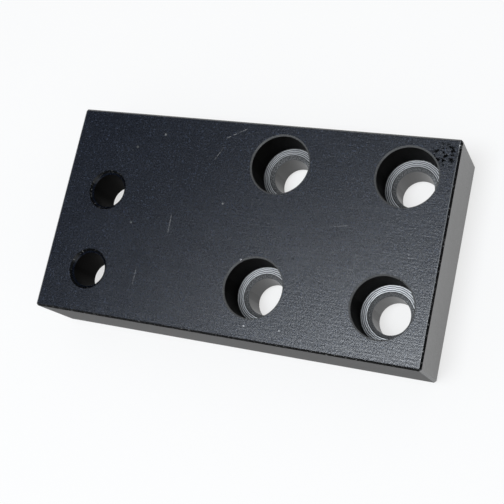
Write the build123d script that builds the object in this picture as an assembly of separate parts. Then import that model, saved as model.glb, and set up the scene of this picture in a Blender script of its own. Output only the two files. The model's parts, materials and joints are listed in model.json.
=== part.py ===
from build123d import *

import os

# Machined mounting block, in millimetres: one piece milled from aluminium bar.
# Four socket head screws drop into counterbores in its top face and fasten the
# block down. Two hex head bolts come up from below, their heads in round
# recesses in the bottom face, and fasten a second part onto the top face.
#
# Frame: the origin is the middle of the bottom face, +X runs along the block
# towards the counterbored end, +Y runs across it and +Z points up out of the
# counterbored face.

# Block
LENGTH = 95.25
WIDTH = 50.8
THICKNESS = 17.3
EDGE_BREAK = 0.45  # 45 degree break on every outer edge

# Socket head screw holes, a rectangle of four
SCREW_SPACING_X = 29.85
SCREW_SPACING_Y = 29.2
SCREW_END_MARGIN = 10.7  # nearest axes to the +X end
SCREW_SIDE_MARGIN = 9.6  # nearest axes to the +Y side
SCREW_CLEARANCE_DIAMETER = 8.73
SCREW_MOUTH_CHAMFER = 0.8  # in the counterbore floor
SCREW_EXIT_CHAMFER = 1.0  # in the bottom face
COUNTERBORE_DIAMETER = 13.85
COUNTERBORE_DEPTH = 8.45
COUNTERBORE_CORNER_RADIUS = 0.25  # left at the floor by the cutter's own corner
COUNTERBORE_RIM_BREAK = 0.35

# Hex head bolt holes, a row of two across the block
BOLT_SPACING_Y = 19.85
BOLT_END_MARGIN = 11.85  # axes to the -X end
BOLT_SIDE_MARGIN = 10.7  # nearest axis to the -Y side
BOLT_CLEARANCE_DIAMETER = 8.33
BOLT_EXIT_CHAMFER = 0.8  # in the top face
HEAD_RECESS_DIAMETER = 17.45
HEAD_RECESS_DEPTH = 6.2
HEAD_RECESS_RIM_BREAK = 0.35

# How far each cutter runs past the face that it opens
OVERRUN = 0.5


def screw_axes():
    """Where the four socket head screws stand, seen from above."""
    end_x = LENGTH / 2 - SCREW_END_MARGIN
    side_y = WIDTH / 2 - SCREW_SIDE_MARGIN
    columns = (end_x - SCREW_SPACING_X, end_x)
    rows = (side_y - SCREW_SPACING_Y, side_y)
    return [(x, y) for x in columns for y in rows]


def bolt_axes():
    """Where the two hex head bolts stand, seen from above."""
    x = BOLT_END_MARGIN - LENGTH / 2
    side_y = BOLT_SIDE_MARGIN - WIDTH / 2
    return [(x, side_y), (x, side_y + BOLT_SPACING_Y)]


def drill(diameter):
    """Straight cutter that goes down from z = 0 and right through the block."""
    length = THICKNESS + 2 * OVERRUN
    cutter = Cylinder(diameter / 2, length, align=(Align.CENTER, Align.CENTER, Align.MAX))
    return Pos(0, 0, OVERRUN) * cutter


def countersink(diameter, width):
    """45 degree cone that chamfers the mouth of a hole in the face z = 0."""
    radius = diameter / 2
    height = width + OVERRUN
    cone = Cone(radius, radius + height, height, align=(Align.CENTER, Align.CENTER, Align.MIN))
    return Pos(0, 0, -width) * cone


def pocket_cutter(diameter, depth, rim_break):
    """Round, flat-bottomed cutter that sinks a pocket into the face z = 0 and breaks its rim."""
    radius = diameter / 2
    section = Polyline(
        (0, 0, OVERRUN),
        (radius + rim_break + OVERRUN, 0, OVERRUN),
        (radius, 0, -rim_break),
        (radius, 0, -depth),
        (0, 0, -depth),
        close=True,
    )
    return revolve(make_face(section), Axis.Z)


def screw_hole():
    """Counterbored hole for a socket head screw, opening in the face z = 0."""
    counterbore = pocket_cutter(COUNTERBORE_DIAMETER, COUNTERBORE_DEPTH, COUNTERBORE_RIM_BREAK)
    floor_edge = counterbore.edges().sort_by(Axis.Z)[0]
    counterbore = fillet(floor_edge, COUNTERBORE_CORNER_RADIUS)
    mouth = countersink(SCREW_CLEARANCE_DIAMETER, SCREW_MOUTH_CHAMFER)
    exit_mouth = Rot(180, 0, 0) * countersink(SCREW_CLEARANCE_DIAMETER, SCREW_EXIT_CHAMFER)
    hole = counterbore + drill(SCREW_CLEARANCE_DIAMETER)
    hole += Pos(0, 0, -COUNTERBORE_DEPTH) * mouth
    return hole + Pos(0, 0, -THICKNESS) * exit_mouth


def bolt_hole():
    """Hole for a hex head bolt, its head recess opening in the face z = 0."""
    recess = pocket_cutter(HEAD_RECESS_DIAMETER, HEAD_RECESS_DEPTH, HEAD_RECESS_RIM_BREAK)
    exit_mouth = Rot(180, 0, 0) * countersink(BOLT_CLEARANCE_DIAMETER, BOLT_EXIT_CHAMFER)
    return recess + drill(BOLT_CLEARANCE_DIAMETER) + Pos(0, 0, -THICKNESS) * exit_mouth


def mounting_block():
    """The finished block, lying on z = 0."""
    blank = Box(LENGTH, WIDTH, THICKNESS, align=(Align.CENTER, Align.CENTER, Align.MIN))
    block = chamfer(blank.edges(), EDGE_BREAK)
    from_above = screw_hole()
    from_below = Rot(180, 0, 0) * bolt_hole()
    for x, y in screw_axes():
        block -= Pos(x, y, THICKNESS) * from_above
    for x, y in bolt_axes():
        block -= Pos(x, y, 0) * from_below
    return block


os.makedirs("parts", exist_ok=True)
export_step(mounting_block(), "parts/mounting_block.step")
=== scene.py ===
import json
import math
from types import SimpleNamespace

import bpy
from mathutils import Matrix, Vector

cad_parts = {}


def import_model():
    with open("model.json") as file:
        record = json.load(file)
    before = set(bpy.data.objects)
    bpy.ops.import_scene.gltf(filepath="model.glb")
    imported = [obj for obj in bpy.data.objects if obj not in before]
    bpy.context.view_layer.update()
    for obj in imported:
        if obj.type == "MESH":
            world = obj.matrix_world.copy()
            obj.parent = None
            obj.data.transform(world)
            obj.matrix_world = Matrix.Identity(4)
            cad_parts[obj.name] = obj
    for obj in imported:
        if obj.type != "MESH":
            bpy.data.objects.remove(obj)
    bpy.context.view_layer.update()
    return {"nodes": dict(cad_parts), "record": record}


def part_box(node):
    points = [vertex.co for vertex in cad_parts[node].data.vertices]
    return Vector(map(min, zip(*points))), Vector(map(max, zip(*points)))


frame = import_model()

# Everything is in metres, in the frame of the CAD model: +X towards the
# counterbored end, +Z up out of the counterbored face, z = 0 on the floor.

MM = 0.001
BLOCK = "mounting_block"
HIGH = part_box(BLOCK)[1]
TOP = HIGH.z
MOUNTS = {mount["name"]: mount for mount in frame["record"]["mounts"]}

# Camera
CAMERA_TARGET = Vector((5.06, -5.34, 17.3)) * MM
CAMERA_DISTANCE = 228.4 * MM
CAMERA_AZIMUTH = -26.18
CAMERA_ELEVATION = 64.34
CAMERA_ROLL = 53.65
CAMERA_LENS = 72.5

# Hole radii, and the height of the counterbores' floors, whose mount is at half their depth
BORE = MOUNTS["counterbores"]["dims"]["hole_r_mm"] * MM
SCREW = MOUNTS["screw_holes"]["dims"]["hole_r_mm"] * MM
RECESS = MOUNTS["head_recesses"]["dims"]["hole_r_mm"] * MM
COUNTERBORE_FLOOR = 2 * MOUNTS["counterbores"]["pos_m"][2] - TOP
MOUTH_CHAMFER = 0.8 * MM
EDGE_BREAK = 0.45 * MM

# How far a mask takes to fade out
SOFTNESS = 0.05 * MM

# Spacing of the rings that the cutters left
RING_PITCH = 0.42 * MM
FINE_RING_PITCH = 0.17 * MM
DRILL_RING_PITCH = 0.55 * MM

# Height of each kind of relief
FACE_RELIEF = 18e-6
END_RELIEF = 7e-6
SIDE_RELIEF = 5e-6
RING_RELIEF = 8e-6
DRILL_RELIEF = 3.5e-6
NICK_DEPTH = 25e-6

# Floor and lamps
FLOOR_SIZE = 3.0
FLOOR_LEVEL = -0.03 * MM  # just clear of the bottom face
FLOOR_GLOW = 0.70  # share of plain white in what the camera and reflections see of the floor
LAMP_COLOUR = (0.92, 0.96, 1.0)

# Marks on the top face and its rims, in millimetres and degrees: bright nick marks, some of them painted
# glints on the small holes' chamfers, and the patch of dark pits as (x, y, radius), fine scratches as (x,
# y, angle, length, width)
NICKS_AND_GLINTS = (
    (-23.6, 20.4, 0.35), (-30.4, 16.7, 0.30), (-4.7, 5.0, 0.30), (-27.2, -2.1, 0.30),
    (7.0, -22.2, 0.26), (15.4, -22.0, 0.22), (40.2, -7.4, 0.40), (39.5, -6.9, 0.25),
    (38.1, -20.4, 0.35), (2.9, -7.6, 0.30), (-38.1, -11.4, 0.30), (47.3, 23.7, 0.45),
)
SCRATCHES = (
    (-17.0, -1.6, 91.7, 5.9, 0.14), (-22.9, -14.8, 90.0, 4.9, 0.13), (-5.2, 22.2, 30.0, 6.5, 0.10),
    (-8.5, 17.0, 62.0, 4.0, 0.09), (24.0, 3.0, 12.0, 5.0, 0.08), (31.0, -23.5, 4.0, 7.0, 0.09),
)
STAIN = (44.3, 21.6, 3.6)


class Nodes:
    """Short ways to add shader nodes to one material or world."""

    def __init__(self, tree):
        self.tree = tree

    def add(self, kind, **settings):
        node = self.tree.nodes.new(kind)
        for name, value in settings.items():
            setattr(node, name, value)
        return node

    def put(self, value, socket):
        if isinstance(value, bpy.types.NodeSocket):
            self.tree.links.new(value, socket)
        else:
            socket.default_value = value

    def math(self, operation, *values):
        node = self.add("ShaderNodeMath", operation=operation)
        for value, socket in zip(values, node.inputs):
            self.put(value, socket)
        return node.outputs[0]

    def steps(self, value, low, high, first=0.0, last=1.0):
        """Goes smoothly from first to last while value goes from low to high."""
        node = self.add("ShaderNodeMapRange", interpolation_type="SMOOTHSTEP")
        for given, name in ((value, "Value"), (low, "From Min"), (high, "From Max")):
            self.put(given, node.inputs[name])
        node.inputs["To Min"].default_value = first
        node.inputs["To Max"].default_value = last
        return node.outputs[0]

    def band(self, value, middle, half_width, softness):
        """1 where value is within half_width of middle, falling to 0 past it."""
        away = self.math("ABSOLUTE", self.math("SUBTRACT", value, middle))
        return self.steps(away, half_width, half_width + softness, 1.0, 0.0)

    def product(self, *values):
        result = values[0]
        for value in values[1:]:
            result = self.math("MULTIPLY", result, value)
        return result

    def inverse(self, value):
        return self.math("SUBTRACT", 1.0, value)

    def distance(self, *offsets):
        return self.math("SQRT", self.total(*[self.math("MULTIPLY", o, o) for o in offsets]))

    def split(self, vector):
        node = self.add("ShaderNodeSeparateXYZ")
        self.put(vector, node.inputs[0])
        return node.outputs

    def largest(self, *values):
        result = values[0]
        for value in values[1:]:
            result = self.math("MAXIMUM", result, value)
        return result

    def total(self, *values):
        result = values[0]
        for value in values[1:]:
            result = self.math("ADD", result, value)
        return result

    def noise(self, vector, scale, detail=2.0, roughness=0.5):
        node = self.add("ShaderNodeTexNoise")
        self.put(vector, node.inputs["Vector"])
        node.inputs["Scale"].default_value = scale
        node.inputs["Detail"].default_value = detail
        node.inputs["Roughness"].default_value = roughness
        return node.outputs[0]

    def stretched(self, vector, amounts):
        node = self.add("ShaderNodeVectorMath", operation="MULTIPLY")
        self.put(vector, node.inputs[0])
        node.inputs[1].default_value = amounts
        return node.outputs[0]

    def turned(self, vector, angle):
        """vector turned about X by angle in degrees."""
        node = self.add("ShaderNodeVectorRotate", rotation_type="X_AXIS")
        self.put(vector, node.inputs["Vector"])
        node.inputs["Angle"].default_value = math.radians(angle)
        return node.outputs[0]

    def waves(self, distance, pitch, wobble=0.0):
        """Sine rings or rings up a wall, one for each pitch of distance."""
        phase = self.math("MULTIPLY", distance, 2 * math.pi / pitch)
        return self.math("SINE", self.total(phase, wobble))

    def mix(self, factor, first, second):
        node = self.add("ShaderNodeMix", data_type="RGBA")
        self.put(factor, node.inputs["Factor"])
        for colour, name in ((first, "A"), (second, "B")):
            socket = [s for s in node.inputs if s.name == name and s.type == "RGBA"][0]
            self.put(colour, socket)
        return [s for s in node.outputs if s.type == "RGBA"][0]

    def layered(self, base, layers):
        """base with each (mask, colour) laid over it in turn."""
        for mask, colour in layers:
            base = self.mix(mask, base, colour)
        return base


def grey(level, blue=0.0):
    return (level * (1 - blue), level, level * (1 + blue), 1.0)


def hole_distance(n, x, y, mount):
    """Distance from the nearest hole axis of a mount."""
    middle = mount["pos_m"]
    dims = mount["dims"]
    offsets = []
    for value, centre, name in ((x, middle[0], "spacing_x_mm"), (y, middle[1], "spacing_y_mm")):
        offset = n.math("SUBTRACT", value, centre)
        if dims.get(name):
            offset = n.math("SUBTRACT", n.math("ABSOLUTE", offset), dims[name] * MM / 2)
        offsets.append(offset)
    return n.distance(*offsets)


def spots(n, x, y, places):
    """1 inside each small round spot."""
    found = []
    for spot_x, spot_y, radius in places:
        dx = n.math("SUBTRACT", x, spot_x * MM)
        dy = n.math("SUBTRACT", y, spot_y * MM)
        found.append(n.steps(n.distance(dx, dy), radius * 0.5 * MM, radius * MM, 1.0, 0.0))
    return n.largest(*found)


def lines(n, x, y, strokes):
    """1 on each fine scratch."""
    found = []
    for line_x, line_y, angle, length, width in strokes:
        along = Vector((math.cos(math.radians(angle)), math.sin(math.radians(angle))))
        dx = n.math("SUBTRACT", x, line_x * MM)
        dy = n.math("SUBTRACT", y, line_y * MM)
        run = n.total(n.math("MULTIPLY", dx, along.x), n.math("MULTIPLY", dy, along.y))
        side = n.total(n.math("MULTIPLY", dx, -along.y), n.math("MULTIPLY", dy, along.x))
        on_run = n.band(run, 0.0, length * 0.3 * MM, length * 0.2 * MM)
        found.append(n.product(on_run, n.band(side, 0.0, width * 0.3 * MM, width * 0.4 * MM)))
    return n.largest(*found)


def surface_masks(n, place):
    """Where each kind of machined surface is: 1 on it and 0 elsewhere."""
    x, y, z = n.split(place)
    normal = n.add("ShaderNodeNewGeometry").outputs["True Normal"]
    tilts = [n.math("ABSOLUTE", part) for part in n.split(normal)]
    flat_x, flat_y, flat_z = [n.steps(tilt, 0.97, 0.99) for tilt in tilts]
    slanted = n.band(tilts[2], math.sqrt(0.5), 0.08, 0.05)
    screw_r = hole_distance(n, x, y, MOUNTS["screw_holes"])
    bolt_r = hole_distance(n, x, y, MOUNTS["bolt_holes"])

    in_bore = n.steps(screw_r, BORE + SOFTNESS, BORE + 2 * SOFTNESS, 1.0, 0.0)
    in_bolt = n.steps(bolt_r, RECESS + SOFTNESS, RECESS + 2 * SOFTNESS, 1.0, 0.0)
    below_top = n.steps(z, TOP - 0.3 * MM, TOP - 0.2 * MM, 1.0, 0.0)
    above_bottom = n.steps(z, 0.2 * MM, 0.3 * MM)
    inside = n.product(n.largest(in_bore, in_bolt), below_top, above_bottom)
    bore_floor = n.product(in_bore, flat_z, n.band(z, COUNTERBORE_FLOOR, 0.1 * MM, SOFTNESS))
    mouth_ring_radius = SCREW + MOUTH_CHAMFER + 0.06 * MM
    mouth_height = n.band(z, COUNTERBORE_FLOOR - MOUTH_CHAMFER / 2, MOUTH_CHAMFER, SOFTNESS)
    at_rim = n.largest(n.band(z, TOP, EDGE_BREAK, SOFTNESS), n.band(z, 0.0, EDGE_BREAK, SOFTNESS))
    rim = n.product(slanted, at_rim)
    top = n.product(flat_z, n.steps(z, TOP - 0.1 * MM, TOP - 0.05 * MM))
    return SimpleNamespace(
        x=x,
        y=y,
        z=z,
        screw_r=screw_r,
        flat_x=flat_x,
        flat_y=flat_y,
        flat_z=flat_z,
        inside=inside,
        outside=n.inverse(inside),
        top=top,
        bore_floor=bore_floor,
        # Painted shade: a dark ring on each counterbore floor next to its mouth chamfer.
        mouth_ring_shade=n.product(bore_floor, n.band(screw_r, mouth_ring_radius, 0.06 * MM, SOFTNESS)),
        mouth=n.product(in_bore, slanted, mouth_height),
        through=n.product(n.steps(screw_r, SCREW + SOFTNESS, SCREW + 2 * SOFTNESS, 1.0, 0.0), inside),
        wall=n.product(inside, n.inverse(n.largest(flat_z, slanted))),
        rim=rim,
        bore_rim_highlight=n.product(rim, n.band(screw_r, BORE + 0.2 * MM, 0.3 * MM, SOFTNESS)),
        face_edge_highlight=n.product(top, n.band(x, HIGH.x - EDGE_BREAK - 0.12 * MM, 0.05 * MM, SOFTNESS)),
    )


def grain(n, place, m):
    """Noise and rings: mill streaks along X, slanted marks on the ends, cutter rings in the holes."""
    end_place = n.stretched(n.turned(place, 38), (400, 4500, 420))
    ring_wobble = n.math("MULTIPLY", n.noise(place, 900.0), 5.0)
    drill_wobble = n.math("MULTIPLY", n.noise(place, 350.0), 6.0)
    return SimpleNamespace(
        streak=n.noise(n.stretched(place, (60, 2600, 400)), 1.0, 3.0, 0.6),
        wide_streak=n.noise(n.stretched(place, (25, 600, 200)), 1.0),
        fine_streak=n.noise(n.stretched(place, (120, 1700, 400)), 1.0),
        end_marks=n.noise(end_place, 1.0, 3.0, 0.6),
        speckle=n.noise(place, 5200.0, 3.0, 0.75),
        mottle=n.noise(place, 3000.0, 3.0, 0.7),
        sparks=n.noise(place, 2500.0, 2.0, 0.6),
        pits=n.noise(place, 2300.0, 2.0, 0.6),
        grains=n.noise(place, 2100.0, 2.0, 0.6),
        dust=n.noise(place, 1500.0, 2.0, 0.6),
        stain=n.noise(place, 1100.0, 3.0, 0.6),
        cloud=n.noise(place, 55.0, 3.0, 0.55),
        rings=n.waves(m.screw_r, RING_PITCH, ring_wobble),
        fine_rings=n.waves(m.screw_r, FINE_RING_PITCH),
        drill_rings=n.waves(m.z, DRILL_RING_PITCH, drill_wobble),
    )


def marks_and_painted_light(n, m, g):
    """Bright nick marks, some of them painted glints on the small holes' chamfers, fine scratches, dark
    pits and a stain, and a ring of painted shade round each screw hole's mouth.
    """
    scratches = n.product(lines(n, m.x, m.y, SCRATCHES), m.top, n.steps(g.grains, 0.35, 0.55))
    stained = n.product(n.steps(g.stain, 0.50, 0.58), spots(n, m.x, m.y, [STAIN]))
    pits = n.product(n.steps(g.pits, 0.66, 0.72), 0.7)
    return SimpleNamespace(
        # Bright spots on the top and rims: nick marks, and some painted glints on the small holes'
        # chamfers.
        nicks_and_glints=n.product(spots(n, m.x, m.y, NICKS_AND_GLINTS), n.largest(m.top, m.rim)),
        scratches=scratches,
        # The dark marks are the pits and stain, and the painted shade ring round each screw hole's mouth.
        dark=n.largest(n.product(n.largest(pits, stained), n.largest(m.top, m.flat_x)), m.mouth_ring_shade),
    )


def relief(n, m, g, marks):
    """Height of the surface above its CAD shape, in metres."""
    face = n.total(n.product(g.streak, 1.2), n.product(g.speckle, 1.5), n.product(g.grains, 1.8))
    end = n.total(n.product(g.end_marks, 2.0), g.speckle)
    side = n.total(n.product(g.wide_streak, 1.2), g.speckle, n.product(g.grains, 0.8))
    floor_rings = n.total(g.rings, n.product(g.fine_rings, 0.25))
    damage = n.largest(marks.nicks_and_glints, n.product(marks.scratches, 0.6))
    return n.total(
        n.product(face, m.flat_z, m.outside, FACE_RELIEF),
        n.product(end, m.flat_x, m.outside, END_RELIEF),
        n.product(side, m.flat_y, m.outside, SIDE_RELIEF),
        n.product(floor_rings, m.bore_floor, RING_RELIEF),
        n.product(g.drill_rings, m.inside, n.inverse(m.flat_z), DRILL_RELIEF),
        n.product(damage, -NICK_DEPTH),
    )


def face_colour(n, m, g):
    """Blue-black dyed oxide, with fine light flecks and streaks that thicken towards +X and -Y: partly real
    marks, partly a painted highlight on that corner.
    """
    # Painted highlight: flecks and streaks grow denser towards the +X, -Y corner, over real ones spread all
    # round.
    fleck_highlight_share = n.total(n.product(m.x, 9.0), n.product(m.y, -12.0), 0.30)
    fleck_and_highlight = n.product(n.steps(g.speckle, 0.52, 0.64), n.steps(fleck_highlight_share, -0.1, 1.0, 0.04, 1.0))
    streak_highlight_share = n.total(n.product(m.x, 8.0), n.product(m.y, -10.0), 0.35)
    streak = n.product(n.steps(g.fine_streak, 0.52, 0.75), n.steps(streak_highlight_share, 0.2, 1.0))
    # Painted reflection: the ends take a lighter grey than the top, with their slanted tool marks in it.
    end_marks_and_painted_reflection = n.mix(n.steps(g.end_marks, 0.3, 0.7), grey(0.035), grey(0.070))
    dye = n.mix(n.steps(g.mottle, 0.36, 0.66), (0.0006, 0.0011, 0.0034, 1.0), (0.0036, 0.0058, 0.0120, 1.0))
    layers = (
        (n.product(n.steps(g.cloud, 0.45, 0.75), 0.3, m.outside), (0.006, 0.0085, 0.015, 1.0)),
        (n.product(n.steps(g.sparks, 0.60, 0.68), m.flat_z, m.outside, 0.8), (0.030, 0.039, 0.062, 1.0)),
        (n.product(fleck_and_highlight, m.flat_z, m.outside, 0.8), (0.095, 0.105, 0.125, 1.0)),
        # Painted shade: the long sides take a plain grey of their own, darker than the ends'.
        (n.product(m.flat_y, m.outside), grey(0.010)),
        (n.product(m.flat_x, m.outside), end_marks_and_painted_reflection),
        # Streaks on the top, thicker towards +X and -Y: partly a painted highlight.
        (n.product(streak, m.top, 0.35), grey(0.06, 0.10)),
    )
    return n.layered(dye, layers)


def hole_colour(n, m, g, base):
    """Brown-black walls darkened as painted shade, bright turned floors with rings of painted sheen,
    near-black edge breaks, and painted highlights on the counterbore rims and the top's +X edge.
    """
    ring_sheen_share = n.total(0.10, n.product(n.steps(g.rings, -0.6, 0.9), 0.85))
    rim_tone = n.mix(n.steps(g.grains, 0.62, 0.70), grey(0.0015), grey(0.12))
    layers = (
        # Painted shade: the walls of the holes are darkened to near black.
        (m.wall, (0.0022, 0.0017, 0.0015, 1.0)),
        (m.through, grey(0.009, 0.02)),
        # Bright turned metal on the counterbore floors, its rings partly painted sheen.
        (n.product(m.bore_floor, ring_sheen_share), grey(0.42, 0.02)),
        (n.product(m.mouth, 0.8), grey(0.28, 0.02)),
        (m.rim, rim_tone),
        # Painted highlight: a thin light line on the counterbores' rim chamfers.
        (n.product(m.bore_rim_highlight, 0.7), grey(0.10, 0.02)),
        # Painted highlight: a thin bright line on the top face just inside its +X edge break.
        (n.product(m.face_edge_highlight, 0.6), grey(0.12, 0.02)),
    )
    return n.layered(base, layers)


def wear_and_painted_light_colour(n, m, g, marks, base):
    """Dust, nick marks with painted glints among them, scratches, pits, and the painted shade ring, over
    the rest.
    """
    dust = n.product(n.steps(g.dust, 0.74, 0.80), n.largest(m.flat_z, m.flat_y), m.outside, 0.4)
    layers = (
        (dust, grey(0.25)),
        # Bright metal at nick marks and scratches, some spots being painted glints.
        (n.largest(marks.nicks_and_glints, n.product(marks.scratches, 0.5)), grey(0.28)),
        # Near-black pits and stain, and the painted shade ring round each mouth.
        (marks.dark, grey(0.003)),
    )
    return n.layered(base, layers)


def roughness(n, m, g):
    return n.total(
        0.14,
        n.product(g.mottle, 0.20),
        n.product(g.cloud, 0.05),
        n.product(m.flat_x, 0.06),
        n.product(m.flat_y, m.outside, 0.30),
        n.product(m.wall, 0.48),
        n.product(m.through, -0.40),
        n.product(m.bore_floor, 0.12),
    )


def metallic(n, m, marks):
    return n.largest(
        marks.nicks_and_glints,
        marks.dark,
        # Painted shade: metal with a near-black colour takes the reflections out of the walls.
        n.product(m.wall, n.inverse(m.through)),
        n.product(m.bore_floor, 0.6),
        n.product(m.mouth, 0.6),
    )


def anodised_block():
    """Satin black anodised aluminium, with mill grain, turned counterbores and light wear, painted shade in
    the holes and painted highlights on rims and edges.
    """
    material = bpy.data.materials.new("black_anodised_aluminium")
    material.use_nodes = True
    shader = material.node_tree.nodes["Principled BSDF"]
    n = Nodes(material.node_tree)
    place = n.add("ShaderNodeTexCoord").outputs["Object"]
    m = surface_masks(n, place)
    g = grain(n, place, m)
    marks = marks_and_painted_light(n, m, g)
    base = hole_colour(n, m, g, face_colour(n, m, g))
    n.put(wear_and_painted_light_colour(n, m, g, marks, base), shader.inputs["Base Color"])
    n.put(roughness(n, m, g), shader.inputs["Roughness"])
    n.put(metallic(n, m, marks), shader.inputs["Metallic"])
    shader.inputs["Specular IOR Level"].default_value = 0.5
    bump = n.add("ShaderNodeBump")
    bump.inputs["Strength"].default_value = 1.0
    bump.inputs["Distance"].default_value = 1.0
    n.put(relief(n, m, g, marks), bump.inputs["Height"])
    n.put(bump.outputs[0], shader.inputs["Normal"])
    return material


def background_rays(n):
    """1 for rays that should see the white background: camera, glossy and transmission."""
    path = n.add("ShaderNodeLightPath").outputs
    return n.largest(path["Is Camera Ray"], path["Is Glossy Ray"], path["Is Transmission Ray"])


def floor_material():
    """Pale floor that keeps the object's shadow, and looks near white to the camera and in reflections."""
    material = bpy.data.materials.new("white_floor")
    material.use_nodes = True
    tree = material.node_tree
    n = Nodes(tree)
    shader = tree.nodes["Principled BSDF"]
    shader.inputs["Base Color"].default_value = grey(0.62)
    shader.inputs["Roughness"].default_value = 0.9
    shader.inputs["Specular IOR Level"].default_value = 0.0
    white = n.add("ShaderNodeEmission")
    white.inputs["Strength"].default_value = 1.0
    blend = n.add("ShaderNodeMixShader")
    n.put(n.product(background_rays(n), FLOOR_GLOW), blend.inputs[0])
    n.put(shader.outputs[0], blend.inputs[1])
    n.put(white.outputs[0], blend.inputs[2])
    n.put(blend.outputs[0], tree.nodes["Material Output"].inputs["Surface"])
    return material


def floor():
    mesh = bpy.data.meshes.new("floor")
    half = FLOOR_SIZE / 2
    outline = ((-half, -half), (half, -half), (half, half), (-half, half))
    corners = [(x, y, FLOOR_LEVEL) for x, y in outline]
    mesh.from_pydata(corners, [], [(0, 1, 2, 3)])
    mesh.materials.append(floor_material())
    plane = bpy.data.objects.new("floor", mesh)
    bpy.context.scene.collection.objects.link(plane)


def world():
    """White background for the camera, a pale ceiling that darkens towards the horizon for
    reflections, and plain grey light from all round."""
    settings = bpy.data.worlds.new("studio")
    bpy.context.scene.world = settings
    settings.use_nodes = True
    n = Nodes(settings.node_tree)
    background = settings.node_tree.nodes["Background"]
    height = n.split(n.add("ShaderNodeTexCoord").outputs["Generated"])[2]
    ceiling = n.mix(n.steps(height, 0.80, 1.0), grey(0.03, 0.25), grey(1.0, 0.08))
    path = n.add("ShaderNodeLightPath").outputs
    colour = n.mix(path["Is Glossy Ray"], grey(0.55), ceiling)
    white = n.largest(path["Is Camera Ray"], path["Is Transmission Ray"])
    n.put(n.mix(white, colour, grey(1.0)), background.inputs["Color"])
    background.inputs["Strength"].default_value = 1.0


def lamp(name, place, aim, size, power):
    data = bpy.data.lights.new(name, "AREA")
    data.shape = "DISK"
    data.size = size
    data.energy = power
    data.color = LAMP_COLOUR
    light = bpy.data.objects.new(name, data)
    light.location = place
    light.rotation_euler = (Vector(aim) - Vector(place)).to_track_quat("-Z", "Y").to_euler()
    light.visible_camera = False
    bpy.context.scene.collection.objects.link(light)


def camera():
    azimuth, elevation = math.radians(CAMERA_AZIMUTH), math.radians(CAMERA_ELEVATION)
    flat = math.cos(elevation)
    away = Vector((flat * math.cos(azimuth), flat * math.sin(azimuth), math.sin(elevation)))
    data = bpy.data.cameras.new("camera")
    data.lens = CAMERA_LENS
    data.clip_start = 0.01
    seen_by = bpy.data.objects.new("camera", data)
    facing = (-away).to_track_quat("-Z", "Y").to_matrix().to_4x4()
    roll = Matrix.Rotation(math.radians(-CAMERA_ROLL), 4, "Z")
    place = Matrix.Translation(CAMERA_TARGET + away * CAMERA_DISTANCE)
    seen_by.matrix_world = place @ facing @ roll
    bpy.context.scene.collection.objects.link(seen_by)
    bpy.context.scene.camera = seen_by


def dress():
    block = frame["nodes"][BLOCK]
    finish = anodised_block()
    for slot in block.material_slots:
        slot.material = finish


dress()
floor()
world()
lamp("overhead_softbox", (-0.03, -0.11, 0.60), (0, 0, 0), 0.26, 3.8)
lamp("side_fill", (0.45, -0.35, 0.40), (0, 0, 0), 0.4, 0.3)
camera()
bpy.context.scene.view_settings.view_transform = "Standard"
